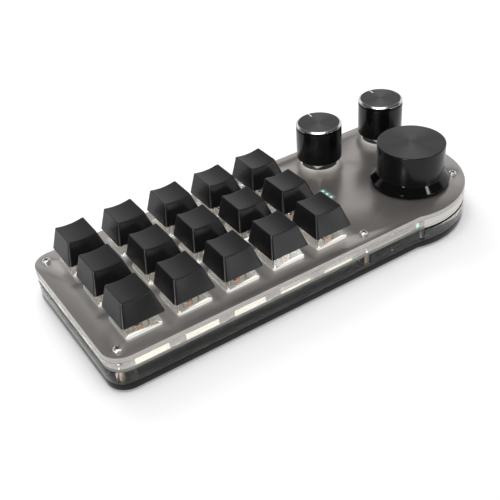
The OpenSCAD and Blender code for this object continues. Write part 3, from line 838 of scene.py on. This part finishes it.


# Reach and power of the two patches of painted lamp light over each lamp, the core and its halo
LAMP_PATCHES = ((0.8 * MM, 1.2), (2.4 * MM, 0.3))
# Reach, power and shift of the painted glow round the small knobs' holes, then rim, reach, power and shift of
# the painted glow round the switches
KNOB_PAINTED_GLOW_REACH = 12 * MM
KNOB_PAINTED_GLOW_POWER = 1.1
KNOB_PAINTED_GLOW_SHIFT = Vector((-0.8, -1.6, 0)) * MM
SWITCH_PAINTED_GLOW_RIM = 7.6 * MM
SWITCH_PAINTED_GLOW_REACH = 13.6 * MM
SWITCH_PAINTED_GLOW_POWER = 0.11
SWITCH_PAINTED_GLOW_SHIFT = 1.3 * MM
TEAL_LIGHT = (0.5, 1, 0.9)
WARM_LIGHT = (1, 0.96, 0.92)


def light_in_plate(material, lamps, z):
    """Adds to a material painted light, as emission: patches over the lamps under the plate, and a painted
    glow round the small knobs' holes and round the switches.

    The painted glow of knobs and switches is brightest a little in front of them and to their left, where the
    plate mirrors them too.
    where the plate mirrors it too.
    """
    tree = material.node_tree
    where = object_place(tree)
    teal, white = 0.0, 0.0
    for lamp in lamps:
        for reach, power in LAMP_PATCHES:
            place = (lamp[0], lamp[1], z)
            patch = place_group(tree, PAINTED_PATCH, Place=place, Reach=reach, Power=power, Vector=where)
            teal = maths(tree, "ADD", patch["Glow"], teal)
    for knob in SMALL_KNOBS:
        axis = middle(f"{knob}_shaft") + KNOB_PAINTED_GLOW_SHIFT
        patch = place_group(
            tree, PAINTED_PATCH, Place=(axis.x, axis.y, z), Reach=KNOB_PAINTED_GLOW_REACH, Power=KNOB_PAINTED_GLOW_POWER,
            Vector=where,
        )
        white = maths(tree, "ADD", patch["Glow"], white)
    lasts = (len(COLUMNS) - 1, len(ROWS) - 1)
    low, high = ([pick(spot[k] for spot in KEY_SPOTS) for k in (0, 1)] for pick in (min, max))
    rims = place_group(
        tree, PAINTED_SWITCH_LIGHT, Vector=where, Rim=SWITCH_PAINTED_GLOW_RIM, Reach=SWITCH_PAINTED_GLOW_REACH,
        First=(low[0] - SWITCH_PAINTED_GLOW_SHIFT, low[1] - SWITCH_PAINTED_GLOW_SHIFT, 0),
        Pitch=(*((high[k] - low[k]) / lasts[k] for k in (0, 1)), 1), Last=(*lasts, 0),
    )
    white = maths(tree, "ADD", maths(tree, "MULTIPLY", rims["Glow"], SWITCH_PAINTED_GLOW_POWER), white)
    both = add_node(tree, "ShaderNodeVectorMath", operation="ADD")
    for socket, power, colour in zip(both.inputs, (teal, white), (TEAL_LIGHT, WARM_LIGHT)):
        shade = add_node(tree, "ShaderNodeVectorMath", operation="SCALE")
        feed(tree, shade, {0: colour, "Scale": power})
        tree.links.new(shade.outputs[0], socket)
    shader = tree.nodes["Principled BSDF"]
    tree.links.new(both.outputs[0], shader.inputs["Emission Color"])
    shader.inputs["Emission Strength"].default_value = 1


# Materials of the keypad

CAP_PLASTIC = moulded(
    "cap_plastic", (0.006, 0.006, 0.007), (0.009, 0.009, 0.0095), 0.34, depth=0.008, specular=0.33,
)
STEM_PLASTIC = moulded("stem_plastic", (0.05, 0.05, 0.052), (0.07, 0.07, 0.072), 0.4)
CHIP_PLASTIC = moulded("chip_plastic", (0.02, 0.02, 0.021), (0.03, 0.03, 0.031), 0.5)
FOOT_RUBBER = moulded("foot_rubber", (0.015, 0.015, 0.015), (0.025, 0.025, 0.025), 0.8)
BOARD_MASK = moulded("board_mask", (0.02, 0.032, 0.027), (0.028, 0.042, 0.035), 0.4)
BOARD_EDGE = moulded("board_edge", (0.2, 0.21, 0.185), (0.25, 0.26, 0.23), 0.5, fine=2500.0)
PLATE_EDGE = moulded("plate_edge", (0.5, 0.47, 0.45), (0.6, 0.57, 0.54), 0.2, fine=1200.0, depth=0.004)
BASE_GLOSS = moulded(
    "base_gloss", (0.004, 0.004, 0.0045), (0.006, 0.006, 0.0065), 0.12, depth=0.0002, specular=0.25,
)
DARK_FLOOR = moulded("dark_floor", (0.01, 0.008, 0.0075), (0.02, 0.017, 0.016), 0.35, fine=200.0, depth=0.001)
# Painted shade: the smoked end frame's top is near black, so that the slot over it shows dark
SLOT_PAINTED_SHADE = moulded("slot_painted_shade", (0.003, 0.003, 0.003), (0.005, 0.005, 0.005), 0.6, specular=0.05)
# Painted shade in the screws' cross recesses
RECESS_PAINTED_SHADE = moulded("screw_recess", (0.02, 0.02, 0.02), (0.03, 0.03, 0.03), 0.4)
POINTER_PAINT = moulded("pointer_paint", (0.75, 0.75, 0.75), (0.8, 0.8, 0.8), 0.5)
KNOB_SIDE = moulded(
    "anodised_side", (0.004, 0.004, 0.005), (0.006, 0.006, 0.007), 0.2, fine=1500.0, depth=0.002,
    specular=0.27,
)
SKIRT_GLOSS = moulded(
    "polished_skirt", (0.003, 0.003, 0.0035), (0.004, 0.004, 0.0045), 0.08, fine=1500.0, depth=0.001,
    specular=0.25,
)
FROSTED_FACE = frosted(
    "frosted_face", (0.1, 0.093, 0.089), (0.104, 0.097, 0.093), 0.3, ior=3.3, through=(0.35, 0.34, 0.33),
)
# Painted light: the plate's underside, the switch housings and their rims glow evenly
FROSTED_UNDER = glowing("frosted_under", (0.5, 0.49, 0.48), (0.56, 0.55, 0.54), 0.4, (1, 0.98, 0.95), 0.2)
HOUSING = glowing("switch_housing", (0.66, 0.62, 0.57), (0.76, 0.72, 0.67), 0.3, (1, 0.95, 0.88), 0.1)
FLANGE = glowing("switch_flange", (0.7, 0.69, 0.66), (0.76, 0.75, 0.72), 0.25, (1, 0.98, 0.93), 0.08)
# Painted light: the rim's front bar is a lighter copy of the rim's finish with a stronger glow
FLANGE_FRONT = glowing("flange_front", (0.86, 0.85, 0.82), (0.9, 0.89, 0.86), 0.25, (1, 0.98, 0.93), 0.4)
# Painted light and shade: the spacer's cut walls across y are a lit copy, those across x a shaded copy of one
# finish, both glowing
CUT_FRONT = glowing("cut_front", (0.8, 0.78, 0.72), (0.85, 0.83, 0.77), 0.4, (1, 0.95, 0.84), 0.56)
CUT_SIDE = glowing("cut_side", (0.4, 0.39, 0.37), (0.45, 0.44, 0.42), 0.4, (1, 0.97, 0.9), 0.22)
# A milky top face for the spacer, whose glow is painted light
FROST_AND_PAINTED_GLOW = glowing("sheet_frost_and_painted_glow", (0.4, 0.38, 0.37), (0.46, 0.44, 0.43), 0.4, (1, 0.97, 0.93), 0.28)
# Painted light: the walls of the plate's holes round the knobs glow
HOLE_EDGE = glowing("hole_edge", (0.6, 0.57, 0.54), (0.66, 0.63, 0.6), 0.25, (1, 0.96, 0.92), 0.4)
# Painted light: the pale core under each small knob glows
KNOB_CORE = glowing("knob_core", (0.6, 0.58, 0.55), (0.66, 0.64, 0.61), 0.3, (1, 0.98, 0.94), 0.5)
LAMP_LENS = glowing("lamp_lens", (0.5, 0.8, 0.78), (0.6, 0.9, 0.88), 0.3, (0.6, 1, 0.92), 0.6)
LID_STEEL = metal("lid_steel", (0.72, 0.71, 0.69), (0.8, 0.79, 0.77), 0.35)
BRASS = metal("turned_brass", (0.78, 0.64, 0.48), (0.86, 0.73, 0.57), 0.3)
NICKEL = metal("nickel_plate", (0.68, 0.67, 0.65), (0.78, 0.77, 0.75), 0.22)
COPPER = metal("contact_copper", (0.9, 0.54, 0.36), (0.95, 0.62, 0.44), 0.4)
SCREW_NICKEL = metal("screw_nickel", (0.8, 0.79, 0.77), (0.88, 0.87, 0.85), 0.42)
SPRING_STEEL = metal("spring_steel", (0.6, 0.6, 0.6), (0.7, 0.7, 0.7), 0.25)
KNOB_CHAMFER = metal("polished_chamfer", (0.62, 0.62, 0.63), (0.68, 0.68, 0.69), 0.2)
KNOB_FACE = brushed_face(
    "brushed_face", (0.05, 0.05, 0.052), (0.085, 0.085, 0.088), 0.34, lines=500.0, depth=0.003,
)
CLEAR_SHEET = clear_plastic("clear_acrylic", (0.94, 0.93, 0.91), 0.02)
CLEAR_FRAME = clear_plastic("clear_frame", (0.84, 0.81, 0.79), 0.02, ior=1.38)
SMOKED_SHEET = clear_plastic("smoked_acrylic", (0.62, 0.6, 0.6), 0.08)
CLEAR_COVER = clear_plastic("clear_cover", (0.95, 0.95, 0.93), 0.05, ior=1.5)

# All lamps but the one at the front edge
KEY_LAMPS = sorted(separate_middles("indicator_lamps"), key=lambda lamp: lamp[1])[1:]
light_in_plate(FROSTED_FACE, KEY_LAMPS, DECK_Z)


# The whole keypad


def dress(node, material):
    """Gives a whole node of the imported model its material."""
    NODES[node].data.materials.clear()
    NODES[node].data.materials.append(material)


for key in KEYS:
    keycap(key)
    cap_socket(key)
    spring(key)
    dress(f"stem_{key}", STEM_PLASTIC)
for knob in SMALL_KNOBS:
    small_knob(knob)
big_knob()

KNOB_HOLES = (KNOB_SPOTS, 10 * MM)
KEY_HOLES = (KEY_SPOTS, 8.2 * MM)
# From here to the round end the spacer's cut edges are dimmer: they take the shaded copy of the painted glow
SPACER_DIM_FROM = 54 * MM

PLATE = [PLATE_EDGE, FROSTED_FACE, FROSTED_UNDER, HOLE_EDGE, HOLE_EDGE]
SPACER = [CLEAR_SHEET, FROST_AND_PAINTED_GLOW, CLEAR_SHEET, CUT_FRONT, CUT_SIDE]
FRAME = [CLEAR_FRAME, CLEAR_FRAME, DARK_FLOOR]
END_FRAME = [SMOKED_SHEET, SLOT_PAINTED_SHADE, DARK_FLOOR]
cut_sheet("top_plate", "frosted_plate", PLATE, 0.2 * MM, 0, KNOB_HOLES)
spacer = cut_sheet("spacer_sheet", "clear_spacer", SPACER, 0.12 * MM, 0.06 * MM, KEY_HOLES)
for face in spacer.data.polygons:
    if face.center.x > SPACER_DIM_FROM and not lies_level(face):
        face.material_index = SPACER.index(CUT_SIDE)
cut_sheet("end_spacer", "clear_end_spacer", [CUT_SIDE], 0.12 * MM, 0.15 * MM)
cut_sheet("lower_frame", "clear_lower_frame", FRAME, 0.12 * MM, 0.02 * MM)
cut_sheet("end_frame", "smoked_end_frame", END_FRAME, 0.12 * MM, 0.1 * MM)
cut_sheet("base_plate", "black_base", [BASE_GLOSS], 0.15 * MM)

CAD_FINISH = {
    "feet": FOOT_RUBBER,
    "standoffs": BRASS,
    "top_screws": SCREW_NICKEL,
    "base_screws": NICKEL,
    "main_board": BOARD_MASK,
    "controller_chip": CHIP_PLASTIC,
    "board_parts": CHIP_PLASTIC,
    "usb_socket": NICKEL,
    "indicator_lamps": LAMP_LENS,
    "switch_bases": HOUSING,
    "switch_covers": CLEAR_COVER,
    "switch_contacts": COPPER,
    "encoder_bodies": CHIP_PLASTIC,
    "encoder_necks": NICKEL,
}
for knob in KNOBS:
    CAD_FINISH[f"{knob}_plunger"] = STEM_PLASTIC
    CAD_FINISH[f"{knob}_shaft"] = NICKEL
for node, material in CAD_FINISH.items():
    dress(node, material)


# Second finishes of nodes that join two materials, or that carry painted light or shade on some faces

# Height over which a switch's faces belong to its rim
RIM_Z = DECK_Z - 0.05 * MM
# Half width of a switch inside its rim, and half widths that the rim stays inside
RIM_INSIDE = 6.9 * MM
RIM_FRONT = 8.2 * MM
RIM_HALF_WIDE = 8 * MM
# Half widths that hold the side contact of a switch
LEAF_RIGHT = 5 * MM
LEAF_ROUND = 9 * MM
SCREW_SPOTS = separate_middles("top_screws")
SCREW_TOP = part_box("top_screws")[1].z
RECESS_REACH = 1.15 * MM
RECESS_DEEP = 0.6 * MM
LID_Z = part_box("encoder_bodies")[1].z - 0.6 * MM


def second_finish(node, material, chosen):
    """Gives the node's chosen faces a material of their own."""
    mesh = NODES[node].data
    mesh.materials.append(material)
    for face in mesh.polygons:
        if chosen(face):
            face.material_index = len(mesh.materials) - 1


def on_rim(face):
    """The switch's square rim, which lies on the plate."""
    return face.center.z > RIM_Z and not near(face.center, KEY_SPOTS, RIM_INSIDE)


def on_rim_front(face):
    """The rim's bar in front of the switch."""
    return face.center.z > RIM_Z and any(
        abs(face.center.x - key.x) < RIM_HALF_WIDE and -RIM_FRONT < face.center.y - key.y < -RIM_INSIDE
        for key in KEY_SPOTS
    )


def on_side_leaf(face):
    """The contact leaf to the right of the switch's middle."""
    return any(
        0 < face.center.x - key.x < LEAF_RIGHT and abs(face.center.y - key.y) < LEAF_ROUND
        for key in KEY_SPOTS
    )


def in_screw_recess(face):
    """The cross recess in a screw's head: its walls and its floor."""
    sunk = abs(face.normal.z) < 0.3 or face.center.z < SCREW_TOP - RECESS_DEEP
    return face.center.z > DECK_Z and sunk and near(face.center, SCREW_SPOTS, RECESS_REACH)


second_finish("main_board", BOARD_EDGE, lambda face: abs(face.normal.z) < 0.5)
# Painted light: the switches' rims glow, and their front bars glow brighter in a lighter copy
second_finish("switch_bases", FLANGE, on_rim)
second_finish("switch_bases", FLANGE_FRONT, on_rim_front)
second_finish("switch_contacts", NICKEL, on_side_leaf)
# Painted shade in the cross recesses of the top screws
second_finish("top_screws", RECESS_PAINTED_SHADE, in_screw_recess)
second_finish("encoder_bodies", LID_STEEL, lambda face: face.center.z > LID_Z)


# Camera, floor and light

CAMERA_TURN = math.radians(-30.73)
CAMERA_RISE = math.radians(36.71)
CAMERA_ROLL = math.radians(-4.69)
CAMERA_AWAY = 348.69 * MM
CAMERA_AIM = Vector((-19.12, -12.29, 17.2)) * MM
CAMERA_LENS = 60.59
FLOOR_HALF = 4
FLOOR_GLOW = 0.2
# The backdrop darkens to a ceiling where its direction, weighed by the lean, rises through two heights
CEILING_LEAN = (-0.18, -0.3, 1)
CEILING_FROM = 0.26
CEILING_TO = 0.43
CEILING_LIGHT = 0.08
EVEN_LIGHT = 0.55


def make_camera():
    """Camera at the photograph's place: turned about the upright axis, raised, and rolled about its own
    view."""
    back = Vector((
        math.sin(CAMERA_TURN) * math.cos(CAMERA_RISE),
        -math.cos(CAMERA_TURN) * math.cos(CAMERA_RISE),
        math.sin(CAMERA_RISE),
    ))
    right = Vector((math.cos(CAMERA_TURN), math.sin(CAMERA_TURN), 0))
    up = back.cross(right)
    roll_right = math.cos(CAMERA_ROLL) * right + math.sin(CAMERA_ROLL) * up
    roll_up = -math.sin(CAMERA_ROLL) * right + math.cos(CAMERA_ROLL) * up
    data = bpy.data.cameras.new("camera")
    data.lens, data.sensor_width = CAMERA_LENS, 36
    data.clip_start, data.clip_end = 0.01, 20
    camera = new_object("camera", data)
    camera.matrix_world = Matrix.Translation(CAMERA_AIM + back * CAMERA_AWAY) @ Matrix(
        (roll_right, roll_up, back)
    ).transposed().to_4x4()
    bpy.context.scene.camera = camera


def seen_bare(tree):
    """1 for rays from the camera, a mirror or a clear piece, and 0 for the rays that light a dull surface."""
    path = add_node(tree, "ShaderNodeLightPath").outputs
    mirrored = maths(tree, "MAXIMUM", path["Is Camera Ray"], path["Is Glossy Ray"])
    return maths(tree, "MAXIMUM", mirrored, path["Is Transmission Ray"])


def make_floor():
    """White floor that keeps the keypad's shadow. Where it is seen it glows a little, so that it is white."""
    material, tree, shader = new_material("floor_paper")
    shader.inputs["Base Color"].default_value = (0.86, 0.86, 0.86, 1)
    shader.inputs["Roughness"].default_value = 0.7
    shader.inputs["Specular IOR Level"].default_value = 0.1
    shader.inputs["Emission Color"].default_value = (1, 1, 1, 1)
    glow = maths(tree, "MULTIPLY", seen_bare(tree), FLOOR_GLOW)
    tree.links.new(glow, shader.inputs["Emission Strength"])
    corners = [(FLOOR_HALF * x, FLOOR_HALF * y, 0) for x, y in ((-1, -1), (1, -1), (1, 1), (-1, 1))]
    mesh = bpy.data.meshes.new("floor")
    mesh.from_pydata(corners, [], [(0, 1, 2, 3)])
    mesh.materials.append(material)
    floor = new_object("floor", mesh)


def make_world():
    """White backdrop where it is seen, up to a ceiling that comes down dark in front, and a dimmer even
    light."""
    world = bpy.data.worlds.new("studio")
    world.use_nodes = True
    tree = world.node_tree
    dim, white = tree.nodes["Background"], add_node(tree, "ShaderNodeBackground")
    for background in (dim, white):
        background.inputs["Color"].default_value = (1, 1, 1, 1)
    dim.inputs["Strength"].default_value = EVEN_LIGHT
    where = add_node(tree, "ShaderNodeTexCoord")
    rise = add_node(tree, "ShaderNodeVectorMath", operation="DOT_PRODUCT")
    feed(tree, rise, {0: where.outputs["Generated"], 1: CEILING_LEAN})
    shade = ease_between(tree, rise.outputs["Value"], CEILING_FROM, CEILING_TO, 1, CEILING_LIGHT)
    tree.links.new(shade, white.inputs["Strength"])
    mix = mix_shaders(tree, seen_bare(tree), dim, white)
    tree.links.new(mix, tree.nodes["World Output"].inputs["Surface"])
    bpy.context.scene.world = world


def softbox(name, place, aim, wide, tall, power):
    """A lamp with a rectangular face, wide and tall in metres, that points at aim and isn't seen itself."""
    data = bpy.data.lights.new(name, "AREA")
    data.shape, data.size, data.size_y, data.energy = "RECTANGLE", wide, tall, power
    lamp = new_object(name, data)
    lamp.location = place
    lamp.rotation_euler = (Vector(aim) - Vector(place)).to_track_quat("-Z", "Y").to_euler()
    lamp.visible_camera = False
    return lamp


make_camera()
make_floor()
make_world()
softbox("top_softbox", (-0.05, -0.05, 1), aim=(0, 0, 0), wide=0.55, tall=0.42, power=3.5)
back_light = softbox("back_light", (0.05, 0.75, 0.7), aim=(0, 0, 0), wide=0.6, tall=0.4, power=3)
back_light.visible_glossy = False
softbox("front_softbox", (0.4, -0.85, 0.15), aim=(0, 0, 0.02), wide=0.1, tall=0.28, power=0.7)
edge_light = softbox("edge_light", (-0.7, -0.45, 0.05), aim=(-0.04, 0, 0.02), wide=0.1, tall=0.4, power=5)
edge_light.data.use_shadow = False
edge_light.visible_diffuse = False
rim_light = softbox(
    "rim_light", (0.3, -0.61, 0.59), aim=(0.064, -0.029, 0.021), wide=0.09, tall=0.09, power=0.35,
)
rim_light.visible_diffuse = False
bpy.context.scene.view_settings.view_transform = "Standard"
